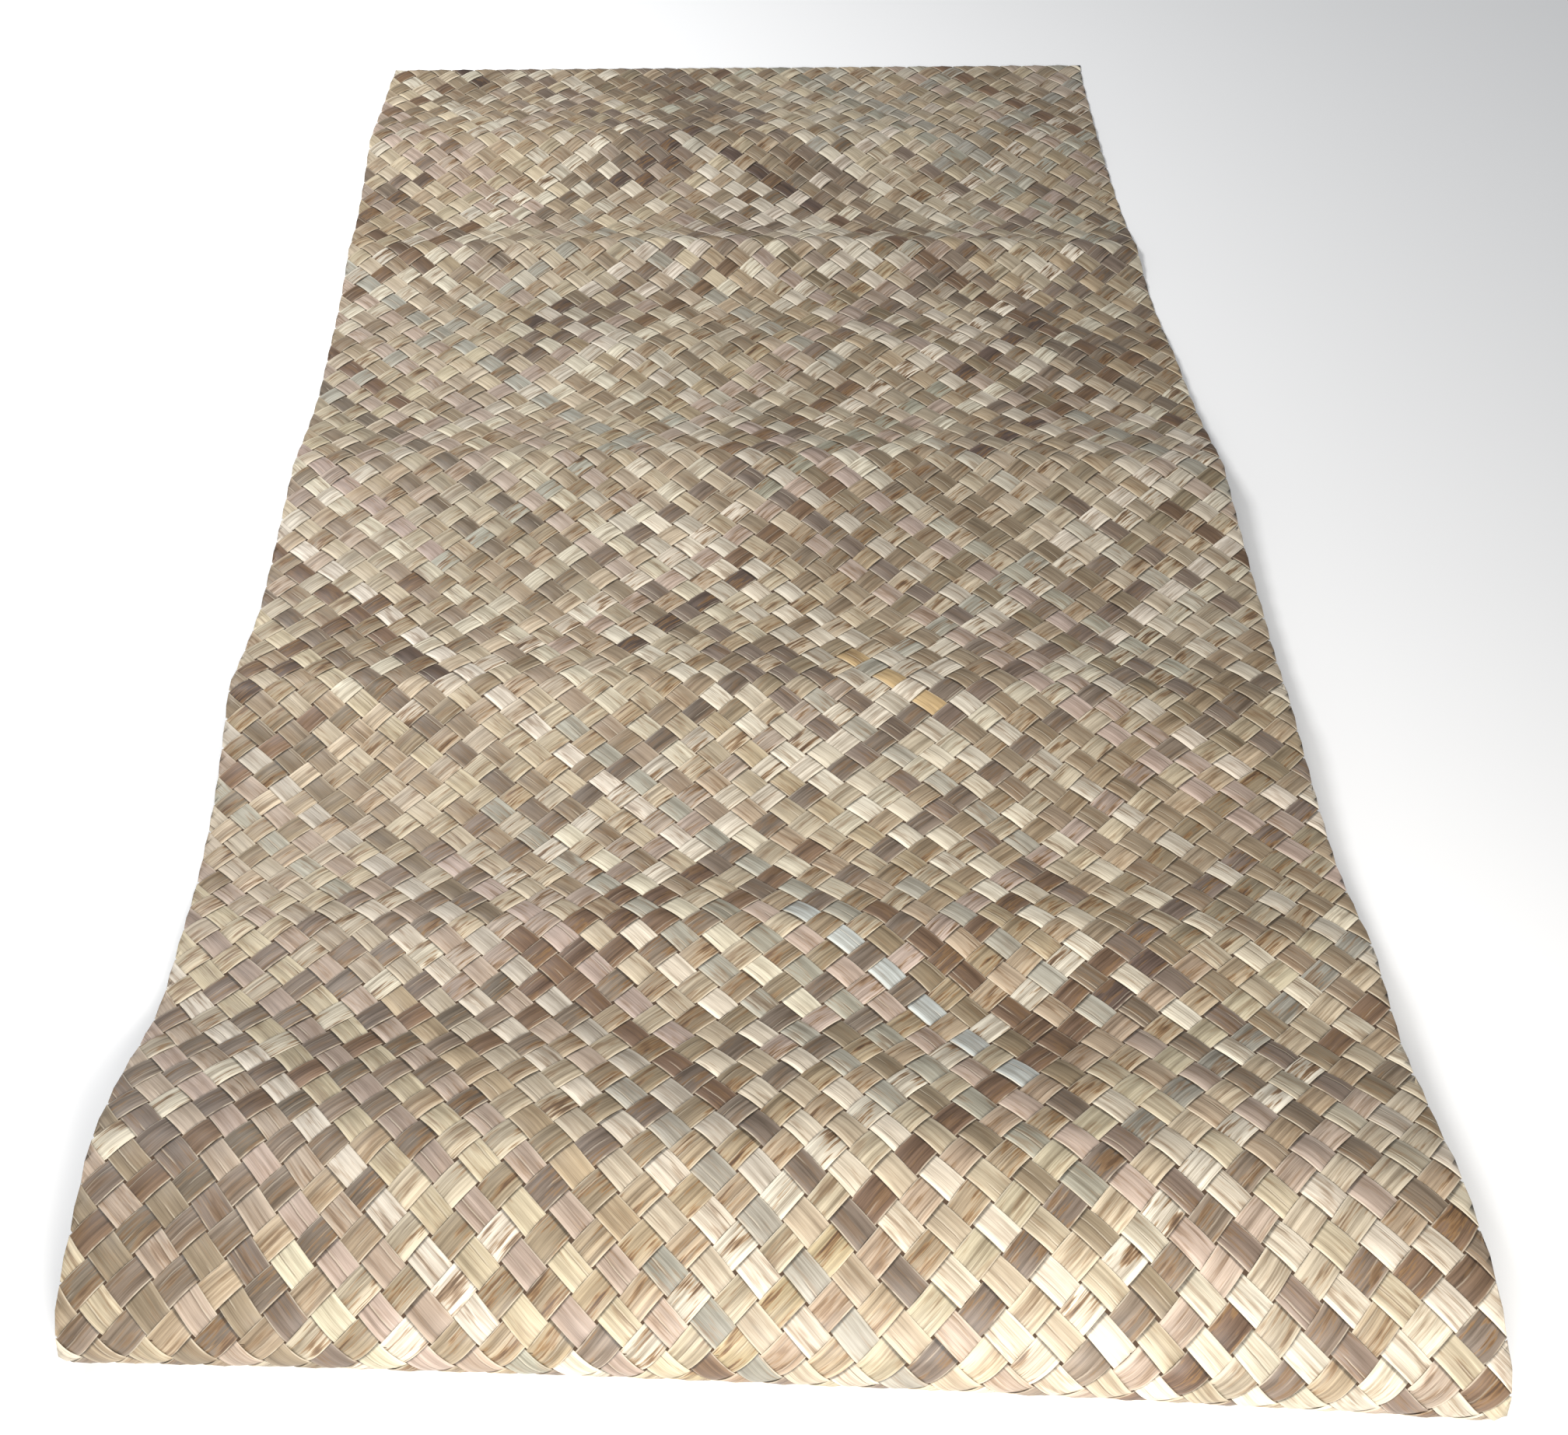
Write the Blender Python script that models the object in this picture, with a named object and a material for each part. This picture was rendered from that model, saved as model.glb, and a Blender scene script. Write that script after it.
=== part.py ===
"""Pandanus mat: one woven sheet, opened out from a roll and left lying on the floor.

The far end lies flat. Towards the viewer the sheet keeps the cross creases of the roll it
was stored in, rises to a low hump, and its near end curls down and under itself.
Metres, +Z up, the mat's length along Y with the near end at minus Y.
"""

from collections import namedtuple

import bpy
import numpy as np

# Driving sizes of the flat mat
WIDTH = 1.220
LENGTH = 2.440
THICKNESS = 0.0025

# Heading of the sheet, in degrees below level, where the near end starts to curl under
CURL_START = 50.0

# Softness of the creases: the length over which a crease is rounded
CREASE_ROUNDING = 0.006

# How finely the sheet is cut into faces
CELLS_ACROSS = 12
LONGEST_CELL = 0.024
MOST_TURN = np.radians(10.0)
STEP = 0.002

# Where the sheet touches or leaves the floor, from the far end to the near end.
# along: metres along the sheet. left, middle, right: lift above the floor in millimetres.
# sway: sideways shift of the whole sheet in millimetres. crease: 0 is a soft sag, 1 a sharp fold.
Fold = namedtuple("Fold", "name along left middle right sway crease")
FOLDS = (
    Fold("far end", 0.000, 0, 0, 0, 0, 0),
    Fold("far end leaves the floor", 0.050, 0, 0, 0, -4, 0),
    Fold("faint first crease", 0.258, 16, 22, 4, -9, 0.6),
    Fold("first sag starts", 0.430, 0, 0, 0, -5, 0),
    Fold("first sag ends", 0.470, 0, 0, 0, -3, 0),
    Fold("second crease", 0.570, 8, 24, 14, -2, 1),
    Fold("second sag", 0.692, 0, 7, 0, 2, 0),
    Fold("faint third crease", 0.835, 6, 25, 12, 6, 0.7),
    Fold("shallow dip", 0.920, 9, 22, 16, 8, 0),
    Fold("fourth crease", 1.108, 41, 58, 49, 8, 1),
    Fold("middle sag", 1.365, 31, 44, 34, 8, 0),
    Fold("fifth crease", 1.510, 49, 64, 49, 0, 1),
    Fold("low sag, on the floor at the left", 1.720, 0, 32, 38, 1, 0),
    Fold("sixth crease", 1.832, 19, 54, 52, 6, 1),
    Fold("foot of the hump", 1.915, 22, 47, 53, 4, 0),
    Fold("hump, far side", 2.040, 64, 84, 87, -5, 0),
    Fold("hump, top", 2.120, 86, 104, 107, -7, 0),
    Fold("hump, near side", 2.170, 84, 101, 108, -6, 0),
    Fold("front slope", 2.236, 80, 88, 92, -4, 0),
    Fold("curl starts", 2.296, 54, 59, 59, -2, 0),
)


def clear_scene():
    """Remove whatever the file starts with."""
    for obj in list(bpy.data.objects):
        bpy.data.objects.remove(obj, do_unlink=True)


def along_folds():
    """The position of every row of FOLDS along the sheet."""
    return np.array([fold.along for fold in FOLDS])


def knot_slopes(along, lift, crease):
    """Slope of the lift on arriving at and on leaving each row.

    A soft row has one slope, level at a top or a bottom. A creased row arrives and
    leaves as straight as its neighbours allow, so that the fold is a sharp one.
    """
    count = len(along)
    rise = np.diff(lift) / np.diff(along)
    arrive = np.zeros(count)
    for i in range(1, count - 1):
        if rise[i - 1] * rise[i] > 0:
            arrive[i] = 2 * rise[i - 1] * rise[i] / (rise[i - 1] + rise[i])
    arrive[-1] = -np.sin(np.radians(CURL_START))
    leave = arrive.copy()
    for i in range(1, count - 1):
        straight_in = 1.5 * rise[i - 1] - 0.5 * leave[i - 1]
        straight_out = 1.5 * rise[i] - 0.5 * arrive[i + 1]
        arrive[i] += crease[i] * (straight_in - arrive[i])
        leave[i] += crease[i] * (straight_out - leave[i])
    return arrive, leave


def lift_between(at, along, lift, crease):
    """Lift at any position, as a cubic between each two rows."""
    arrive, leave = knot_slopes(along, lift, crease)
    k = np.clip(np.searchsorted(along, at, side="right") - 1, 0, len(along) - 2)
    span = np.diff(along)[k]
    t = (at - along[k]) / span
    start = (2 * t**3 - 3 * t**2 + 1) * lift[k] + (t**3 - 2 * t**2 + t) * span * leave[k]
    end = (3 * t**2 - 2 * t**3) * lift[k + 1] + (t**3 - t**2) * span * arrive[k + 1]
    return start + end


def rounded(values):
    """The same heights with each sharp fold rounded over CREASE_ROUNDING."""
    reach = int(round(CREASE_ROUNDING / STEP))
    offsets = np.arange(-3 * reach, 3 * reach + 1)
    weights = np.exp(-0.5 * (offsets / reach) ** 2)
    padded = np.pad(values, 3 * reach, mode="edge")
    return np.convolve(padded, weights / weights.sum(), "valid")


def side_curve(column):
    """Heading, forward position and lift of the sheet's middle layer along one column.

    column is left, middle or right. The sheet keeps its length: each step moves forward
    by the cosine of its heading. After the last row the heading turns steadily until the
    sheet faces back, with the radius that brings it down to the floor, and lies flat.
    """
    along = along_folds()
    lift = np.array([getattr(fold, column) for fold in FOLDS]) / 1000.0
    crease = np.array([fold.crease for fold in FOLDS])
    at = np.arange(0.0, LENGTH + STEP / 2, STEP)
    height = rounded(lift_between(np.minimum(at, along[-1]), along, lift, crease))
    heading = np.arcsin(np.clip(np.gradient(height, STEP), -0.95, 0.95))
    last = np.searchsorted(at, along[-1]) - int(round(3 * CREASE_ROUNDING / STEP)) - 1
    radius = height[last] / (1 + np.cos(heading[last]))
    curl = np.maximum(heading[last] - (at - at[last]) / radius, -np.pi)
    heading = np.where(at >= at[last], curl, heading)
    sine = np.sin(heading)
    cosine = np.cos(heading)
    climb = np.concatenate([[0], np.cumsum((sine[1:] + sine[:-1]) / 2 * STEP)])
    forward = -np.concatenate([[0], np.cumsum((cosine[1:] + cosine[:-1]) / 2 * STEP)])
    flat = (at < along[1]) | (heading <= -np.pi + 1e-9)
    between = (at > along[3]) & (at < along[4])
    climb = np.where(flat | between, 0.0, np.maximum(climb, 0.0))
    return at, heading, forward, climb + THICKNESS / 2


def stations(at, headings):
    """Positions along the sheet: close together where it turns, wide apart where it doesn't."""
    turn = np.max([np.abs(np.gradient(h, STEP)) for h in headings], axis=0)
    need = np.maximum(1 / LONGEST_CELL, turn / MOST_TURN)
    total = np.concatenate([[0], np.cumsum((need[1:] + need[:-1]) / 2 * STEP)])
    count = int(np.ceil(total[-1]))
    return np.interp(np.linspace(0, total[-1], count + 1), total, at)


def middle_layer():
    """Points of the sheet's middle layer, as a grid of stations by places across."""
    curves = [side_curve(name) for name in ("left", "middle", "right")]
    at = curves[0][0]
    rows = stations(at, [curve[1] for curve in curves])
    across = np.linspace(-1, 1, CELLS_ACROSS + 1)
    shares = (across * (across - 1) / 2, 1 - across**2, across * (across + 1) / 2)
    forward = sum(np.outer(np.interp(rows, at, c[2]), w) for c, w in zip(curves, shares))
    lift = sum(np.outer(np.interp(rows, at, c[3]), w) for c, w in zip(curves, shares))
    sway = np.interp(rows, along_folds(), [fold.sway for fold in FOLDS]) / 1000.0
    side = across[None, :] * WIDTH / 2 + sway[:, None]
    return np.stack([side, forward, lift], axis=-1)


def outward(points):
    """Unit normals of the grid, on the side that faces up until the near end curls under."""
    down_length = np.gradient(points, axis=0)
    to_right = np.gradient(points, axis=1)
    normal = np.cross(down_length, to_right)
    return normal / np.linalg.norm(normal, axis=2, keepdims=True)


def settle(points):
    """Put the middle of the bounding box over the origin and the lowest point on the floor."""
    low = points.min(axis=0)
    high = points.max(axis=0)
    return points - np.array([(low[0] + high[0]) / 2, (low[1] + high[1]) / 2, low[2]])


def grid_faces(rows, columns, first, flip):
    """Two triangles for each cell of a grid of points."""
    row, column = np.meshgrid(np.arange(rows - 1), np.arange(columns - 1), indexing="ij")
    a = (first + row * columns + column).ravel()
    b = a + columns
    halves = [np.stack([a, b, a + 1], axis=1), np.stack([b, b + 1, a + 1], axis=1)]
    faces = np.concatenate(halves)
    return faces[:, ::-1] if flip else faces


def rim_faces(rows, columns, second):
    """Faces that close the four thin edges between the two layers."""
    top = np.arange(columns)
    right = np.arange(1, rows) * columns + columns - 1
    bottom = (rows - 1) * columns + np.arange(columns - 2, -1, -1)
    left = np.arange(rows - 2, -1, -1) * columns
    loop = np.concatenate([top, right, bottom, left])
    a = loop[:-1]
    b = loop[1:]
    return np.concatenate(
        [np.stack([a, b, a + second], axis=1), np.stack([b, b + second, a + second], axis=1)]
    )


def straw(obj):
    """A matt, straw-coloured finish of the object's own."""
    material = bpy.data.materials.new(obj.name)
    material.use_nodes = True
    shader = next(n for n in material.node_tree.nodes if n.type == "BSDF_PRINCIPLED")
    shader.inputs["Base Color"].default_value = (0.47, 0.37, 0.25, 1.0)
    shader.inputs["Roughness"].default_value = 0.75
    obj.data.materials.append(material)


def build_mat():
    """The woven sheet as one closed solid."""
    middle = middle_layer()
    normal = outward(middle)
    rows, columns = middle.shape[:2]
    upper = (middle + normal * THICKNESS / 2).reshape(-1, 3)
    lower = (middle - normal * THICKNESS / 2).reshape(-1, 3)
    points = settle(np.concatenate([upper, lower]))
    second = rows * columns
    faces = np.concatenate(
        [
            grid_faces(rows, columns, 0, False),
            grid_faces(rows, columns, second, True),
            rim_faces(rows, columns, second),
        ]
    )
    mesh = bpy.data.meshes.new("mat")
    mesh.from_pydata(points.tolist(), [], faces.tolist())
    mesh.validate()
    mesh.update()
    obj = bpy.data.objects.new("mat", mesh)
    bpy.context.scene.collection.objects.link(obj)
    straw(obj)
    return obj


def main():
    clear_scene()
    build_mat()


main()
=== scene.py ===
"""Dressed pandanus mat: flat strips of leaf plaited on the bias, over a sheet that keeps its folds.

Two sets of strips cross at right angles, each going over one and under one, and all of them turn
back along the four edges. The sheet's sizes and folds repeat the model's own. Metres, +Z up, the
mat's length along Y with its near end at minus Y.
"""

import logging
from dataclasses import dataclass, field
from enum import Enum
from typing import NamedTuple

import bpy
import numpy as np
from mathutils import Matrix, Vector


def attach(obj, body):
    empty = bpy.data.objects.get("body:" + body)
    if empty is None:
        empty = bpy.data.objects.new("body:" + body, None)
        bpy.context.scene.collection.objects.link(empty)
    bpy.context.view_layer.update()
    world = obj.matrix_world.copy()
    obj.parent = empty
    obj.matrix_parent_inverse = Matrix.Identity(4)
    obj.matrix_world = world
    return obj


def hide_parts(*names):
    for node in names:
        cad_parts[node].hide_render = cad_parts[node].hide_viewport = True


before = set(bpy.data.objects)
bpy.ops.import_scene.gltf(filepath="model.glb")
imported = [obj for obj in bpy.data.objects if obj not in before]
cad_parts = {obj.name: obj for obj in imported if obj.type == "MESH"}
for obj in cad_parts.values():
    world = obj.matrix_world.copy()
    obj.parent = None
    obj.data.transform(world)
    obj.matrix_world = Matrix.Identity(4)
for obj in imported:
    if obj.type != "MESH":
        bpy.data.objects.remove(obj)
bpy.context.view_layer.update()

log = logging.getLogger("mat")

MILLIMETRE = 0.001


class Fold(NamedTuple):
    """Where the sheet touches or leaves the floor.

    along is in metres from the far end. left, middle and right are lifts above the floor, and
    sway is a sideways shift, all in millimetres. crease is 0 for a soft sag and 1 for a sharp fold.
    """

    name: str
    along: float
    left: float
    middle: float
    right: float
    sway: float
    crease: float


FOLDS = (
    Fold("far end", 0.000, 0, 0, 0, 0, 0),
    Fold("far end leaves the floor", 0.050, 0, 0, 0, -4, 0),
    Fold("faint first crease", 0.258, 16, 22, 4, -9, 0.6),
    Fold("first sag starts", 0.430, 0, 0, 0, -5, 0),
    Fold("first sag ends", 0.470, 0, 0, 0, -3, 0),
    Fold("second crease", 0.570, 8, 24, 14, -2, 1),
    Fold("second sag", 0.692, 0, 7, 0, 2, 0),
    Fold("faint third crease", 0.835, 6, 25, 12, 6, 0.7),
    Fold("shallow dip", 0.920, 9, 22, 16, 8, 0),
    Fold("fourth crease", 1.108, 41, 58, 49, 8, 1),
    Fold("middle sag", 1.365, 31, 44, 34, 8, 0),
    Fold("fifth crease", 1.510, 49, 64, 49, 0, 1),
    Fold("low sag, on the floor at the left", 1.720, 0, 32, 38, 1, 0),
    Fold("sixth crease", 1.832, 19, 54, 52, 6, 1),
    Fold("foot of the hump", 1.915, 22, 47, 53, 4, 0),
    Fold("hump, far side", 2.040, 64, 84, 87, -5, 0),
    Fold("hump, top", 2.120, 86, 104, 107, -7, 0),
    Fold("hump, near side", 2.170, 84, 101, 108, -6, 0),
    Fold("front slope", 2.236, 80, 88, 92, -4, 0),
    Fold("curl starts", 2.296, 54, 59, 59, -2, 0),
)


@dataclass
class FoldedSheet:
    """The middle layer of the mat as a surface of two parameters: metres along, and -1 to 1 across."""

    width: float = 1.220
    length: float = 2.440
    thickness: float = 0.0025
    curl_start: float = 50.0
    crease_rounding: float = 0.006
    step: float = 0.002
    raised: float = 0.0013
    folds: tuple[Fold, ...] = FOLDS
    at: np.ndarray = field(init=False)
    forward: list[np.ndarray] = field(init=False)
    climb: list[np.ndarray] = field(init=False)
    shift: np.ndarray = field(init=False)

    def __post_init__(self) -> None:
        """Work out the three side curves, and the shift that centres the sheet on the origin."""
        self.at = np.arange(0.0, self.length + self.step / 2, self.step)
        curves = [self.side_curve(name) for name in ("left", "middle", "right")]
        self.forward = [curve[0] for curve in curves]
        self.climb = [curve[1] for curve in curves]
        self.shift = np.zeros(3)
        along, across = np.meshgrid(self.at, np.linspace(-1, 1, 13), indexing="ij")
        points = self.points(along, across)
        skin = self.normals(along, across) * self.thickness / 2
        both = np.concatenate([points + skin, points - skin]).reshape(-1, 3)
        low, high = both.min(axis=0), both.max(axis=0)
        self.shift = -np.array([(low[0] + high[0]) / 2, (low[1] + high[1]) / 2, low[2]])
        self.shift[2] += self.raised

    def knots(self) -> np.ndarray:
        """Return the position of every fold along the sheet."""
        return np.array([fold.along for fold in self.folds])

    def lift_slopes(self, lift: np.ndarray, crease: np.ndarray) -> tuple[np.ndarray, np.ndarray]:
        """Slope of the lift on arriving at and on leaving each fold.

        A soft fold has one slope, level at a top or a bottom. A creased one arrives and leaves as
        straight as its neighbours allow.

        Args:
            lift: Lift of each fold, in metres.
            crease: Sharpness of each fold, 0 to 1.

        Returns:
            The slopes on arriving and on leaving.
        """
        rise = np.diff(lift) / np.diff(self.knots())
        arrive = np.zeros(len(lift))
        for i in range(1, len(lift) - 1):
            if rise[i - 1] * rise[i] > 0:
                arrive[i] = 2 * rise[i - 1] * rise[i] / (rise[i - 1] + rise[i])
        arrive[-1] = -np.sin(np.radians(self.curl_start))
        leave = arrive.copy()
        for i in range(1, len(lift) - 1):
            straight_in = 1.5 * rise[i - 1] - 0.5 * leave[i - 1]
            straight_out = 1.5 * rise[i] - 0.5 * arrive[i + 1]
            arrive[i] += crease[i] * (straight_in - arrive[i])
            leave[i] += crease[i] * (straight_out - leave[i])
        return arrive, leave

    def lifts(self, column: str) -> np.ndarray:
        """Lift above the floor every step along one column: a cubic between each two folds.

        Args:
            column: left, middle or right.

        Returns:
            Lifts in metres, with the sharp folds rounded by a bell-shaped average.
        """
        knots = self.knots()
        lift = np.array([getattr(fold, column) for fold in self.folds]) * MILLIMETRE
        crease = np.array([fold.crease for fold in self.folds])
        arrive, leave = self.lift_slopes(lift, crease)
        at = np.minimum(self.at, knots[-1])
        k = np.clip(np.searchsorted(knots, at, side="right") - 1, 0, len(knots) - 2)
        span = np.diff(knots)[k]
        t = (at - knots[k]) / span
        start = (2 * t**3 - 3 * t**2 + 1) * lift[k] + (t**3 - 2 * t**2 + t) * span * leave[k]
        end = (3 * t**2 - 2 * t**3) * lift[k + 1] + (t**3 - t**2) * span * arrive[k + 1]
        reach = int(round(self.crease_rounding / self.step))
        weights = np.exp(-0.5 * (np.arange(-3 * reach, 3 * reach + 1) / reach) ** 2)
        padded = np.pad(start + end, 3 * reach, mode="edge")
        return np.convolve(padded, weights / weights.sum(), "valid")

    def side_curve(self, column: str) -> tuple[np.ndarray, np.ndarray]:
        """Forward position and height of the middle layer along one column.

        Each step moves forward by the cosine of the heading and up by its sine, so the sheet
        keeps its length. After the last fold the heading turns steadily until the sheet faces
        back, at the radius that brings it down to the floor, and there it lies flat.

        Args:
            column: left, middle or right.

        Returns:
            Positions along Y, falling from 0, and heights.
        """
        knots = self.knots()
        height = self.lifts(column)
        heading = np.arcsin(np.clip(np.gradient(height, self.step), -0.95, 0.95))
        settled = int(round(3 * self.crease_rounding / self.step)) + 1
        last = np.searchsorted(self.at, knots[-1]) - settled
        radius = height[last] / (1 + np.cos(heading[last]))
        curl = np.maximum(heading[last] - (self.at - self.at[last]) / radius, -np.pi)
        heading = np.where(self.at >= self.at[last], curl, heading)
        sine, cosine = np.sin(heading), np.cos(heading)
        climb = np.concatenate([[0], np.cumsum((sine[1:] + sine[:-1]) / 2 * self.step)])
        forward = -np.concatenate([[0], np.cumsum((cosine[1:] + cosine[:-1]) / 2 * self.step)])
        flat = (self.at < knots[1]) | (heading <= -np.pi + 1e-9)
        between = (self.at > knots[3]) & (self.at < knots[4])
        climb = np.where(flat | between, 0.0, np.maximum(climb, 0.0))
        return forward, climb + self.thickness / 2

    def points(self, along: np.ndarray, across: np.ndarray) -> np.ndarray:
        """Points of the middle layer: the three side curves blended by a parabola across.

        Args:
            along: Metres from the far end.
            across: -1 at the left edge to 1 at the right edge.

        Returns:
            Points with a last axis of three.
        """
        shares = (across * (across - 1) / 2, 1 - across**2, across * (across + 1) / 2)
        forward = sum(np.interp(along, self.at, c) * w for c, w in zip(self.forward, shares))
        climb = sum(np.interp(along, self.at, c) * w for c, w in zip(self.climb, shares))
        sway = np.interp(along, self.knots(), [fold.sway * MILLIMETRE for fold in self.folds])
        side = across * self.width / 2 + sway
        return np.stack([side, forward, climb], axis=-1) + self.shift

    def normals(self, along: np.ndarray, across: np.ndarray) -> np.ndarray:
        """Unit normals of the middle layer: the cross product of its two directions.

        Args:
            along: Metres from the far end.
            across: -1 at the left edge to 1 at the right edge.

        Returns:
            Vectors on the side that faces up until the near end curls under.
        """
        reach = 0.004
        before, after = np.maximum(along - reach, 0), np.minimum(along + reach, self.length)
        down_length = self.points(after, across) - self.points(before, across)
        to_right = self.points(along, across + 0.01) - self.points(along, across - 0.01)
        normal = np.cross(down_length, to_right)
        return normal / np.linalg.norm(normal, axis=-1, keepdims=True)


class RowCount(NamedTuple):
    """Rows of crossings between the far end and a place along the sheet."""

    name: str
    along: float
    rows: float


ROW_COUNTS = (
    RowCount("far end", 0.000, 0.0),
    RowCount("faint first crease", 0.258, 5.9),
    RowCount("second crease", 0.570, 13.1),
    RowCount("second sag", 0.692, 15.9),
    RowCount("faint third crease", 0.835, 19.2),
    RowCount("fourth crease", 1.108, 25.8),
    RowCount("middle sag", 1.365, 32.4),
    RowCount("fifth crease", 1.510, 36.3),
    RowCount("low sag", 1.720, 42.3),
    RowCount("sixth crease", 1.832, 45.5),
    RowCount("foot of the hump", 1.915, 47.8),
    RowCount("hump, far side", 2.040, 50.9),
    RowCount("hump, top", 2.120, 52.8),
    RowCount("front slope", 2.236, 55.4),
    RowCount("curl starts", 2.296, 56.8),
    RowCount("near end", 2.440, 60.0),
)


@dataclass
class Plait:
    """The net of crossings: 30 columns by 60 rows, a column or row being a cell's diagonal.

    Strips that run down to the right have columns minus rows constant, and strips that run down
    to the left have columns plus rows constant. The first kind is on top where both are whole
    numbers, the second half-way between.
    """

    sheet: FoldedSheet
    columns: int = 30
    rows: int = 60
    evening: float = 1.3
    wander: float = 0.05
    tuck: float = 0.0011
    tuck_reach: float = 0.010

    def along(self, rows: np.ndarray) -> np.ndarray:
        """Metres along the sheet at a number of rows, evened out by a bell-shaped average.

        Args:
            rows: Rows from the far end.

        Returns:
            Metres from the far end.
        """
        fine = np.arange(0, self.rows + 0.05, 0.1)
        counted = [count.rows for count in ROW_COUNTS]
        metres = np.interp(fine, counted, [count.along for count in ROW_COUNTS])
        pace = self.sheet.length / self.rows
        reach = int(round(3 * self.evening / 0.1))
        weights = np.exp(-0.5 * (np.arange(-reach, reach + 1) * 0.1 / self.evening) ** 2)
        extra = np.pad(metres - fine * pace, reach, mode="reflect", reflect_type="odd")
        return np.interp(rows, fine, fine * pace + np.convolve(extra, weights / weights.sum(), "valid"))

    def wandering(self, column: np.ndarray, row: np.ndarray) -> tuple[np.ndarray, np.ndarray]:
        """Small shifts of the net, as slow waves that die out at the edges.

        Args:
            column: Columns from the left edge.
            row: Rows from the far end.

        Returns:
            Shifts of column and row.
        """
        side = np.minimum(column, self.columns - column)
        end = np.minimum(row, self.rows - row)
        room = np.clip(side / 2, 0, 1) * np.clip(end / 2, 0, 1) * self.wander
        shift_column = np.sin(0.61 * column + 0.33 * row + 1.1) + np.sin(0.87 * row - 0.42 * column)
        shift_row = np.sin(0.53 * row - 0.71 * column + 2.3) + np.sin(0.93 * column + 0.29 * row)
        return room * shift_column, room * shift_row

    def to_edge(self, column: np.ndarray, row: np.ndarray) -> np.ndarray:
        """Metres from a place in the net to the nearest edge of the mat.

        Args:
            column: Columns from the left edge.
            row: Rows from the far end.

        Returns:
            Distances, nought on the edge.
        """
        side = np.minimum(column, self.columns - column) * self.sheet.width / self.columns
        end = np.minimum(row, self.rows - row) * self.sheet.length / self.rows
        return np.minimum(side, end)

    def place(self, column: np.ndarray, row: np.ndarray) -> tuple[np.ndarray, np.ndarray]:
        """Points and normals of the middle layer at places in the net.

        Each edge is drawn in a little between its folded strips, by a squared sine along it.

        Args:
            column: Columns from the left edge.
            row: Rows from the far end.

        Returns:
            Points and unit normals.
        """
        shift_column, shift_row = self.wandering(column, row)
        across = (column + shift_column) / (self.columns / 2) - 1
        along = self.along(row + shift_row)
        side = np.minimum(column, self.columns - column) * self.sheet.width / self.columns
        end = np.minimum(row, self.rows - row) * self.sheet.length / self.rows
        drawn_side = np.sin(np.pi * row) ** 2 * np.exp(-((side / self.tuck_reach) ** 2)) * self.tuck
        drawn_end = np.sin(np.pi * column) ** 2 * np.exp(-((end / self.tuck_reach) ** 2)) * self.tuck
        across = across - np.sign(across) * drawn_side / (self.sheet.width / 2)
        along = along + np.where(row < self.rows / 2, drawn_end, -drawn_end)
        return self.sheet.points(along, across), self.sheet.normals(along, across)


class Tone(Enum):
    """Colours of dried leaf in even light, 0 to 255."""

    CREAM = (199, 191, 175)
    STRAW = (178, 166, 145)
    SAND = (163, 147, 125)
    ROSE = (171, 155, 142)
    GREEN_GREY = (160, 157, 145)
    PALE_GREY = (178, 183, 181)
    KHAKI = (140, 126, 106)
    GREY_BROWN = (121, 108, 96)
    BROWN = (112, 91, 74)
    UMBER = (90, 75, 66)
    HONEY = (190, 165, 124)


class Way(Enum):
    """The two directions in which strips run towards the near end."""

    TO_RIGHT = 1
    TO_LEFT = -1


def linear(colour: tuple[int, int, int]) -> np.ndarray:
    """Turn a colour of 0 to 255 as seen into linear light.

    Args:
        colour: Red, green and blue.

    Returns:
        Three numbers from 0 to 1.
    """
    seen = np.array(colour) / 255
    return np.where(seen <= 0.04045, seen / 12.92, ((seen + 0.055) / 1.055) ** 2.4)


class Leaf(NamedTuple):
    """A stretch of strip from one leaf that stands out on the mat, by its running count of crossings."""

    way: Way
    strip: int
    first: int
    last: int
    tone: Tone


STANDING_OUT = (
    Leaf(Way.TO_RIGHT, -29, 60, 72, Tone.PALE_GREY),
    Leaf(Way.TO_RIGHT, -27, 62, 72, Tone.BROWN),
    Leaf(Way.TO_RIGHT, -17, 52, 58, Tone.HONEY),
)


class Share(NamedTuple):
    """How often a tone comes up among the leaves of each direction, and its longest run of cells."""

    tone: Tone
    to_right: float
    to_left: float
    cells: int


SHARES = (
    Share(Tone.CREAM, 0.23, 0.17, 17),
    Share(Tone.STRAW, 0.19, 0.16, 17),
    Share(Tone.SAND, 0.15, 0.15, 17),
    Share(Tone.ROSE, 0.09, 0.06, 14),
    Share(Tone.GREEN_GREY, 0.06, 0.05, 12),
    Share(Tone.KHAKI, 0.11, 0.14, 14),
    Share(Tone.GREY_BROWN, 0.10, 0.14, 10),
    Share(Tone.BROWN, 0.05, 0.09, 6),
    Share(Tone.UMBER, 0.02, 0.04, 4),
)


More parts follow.
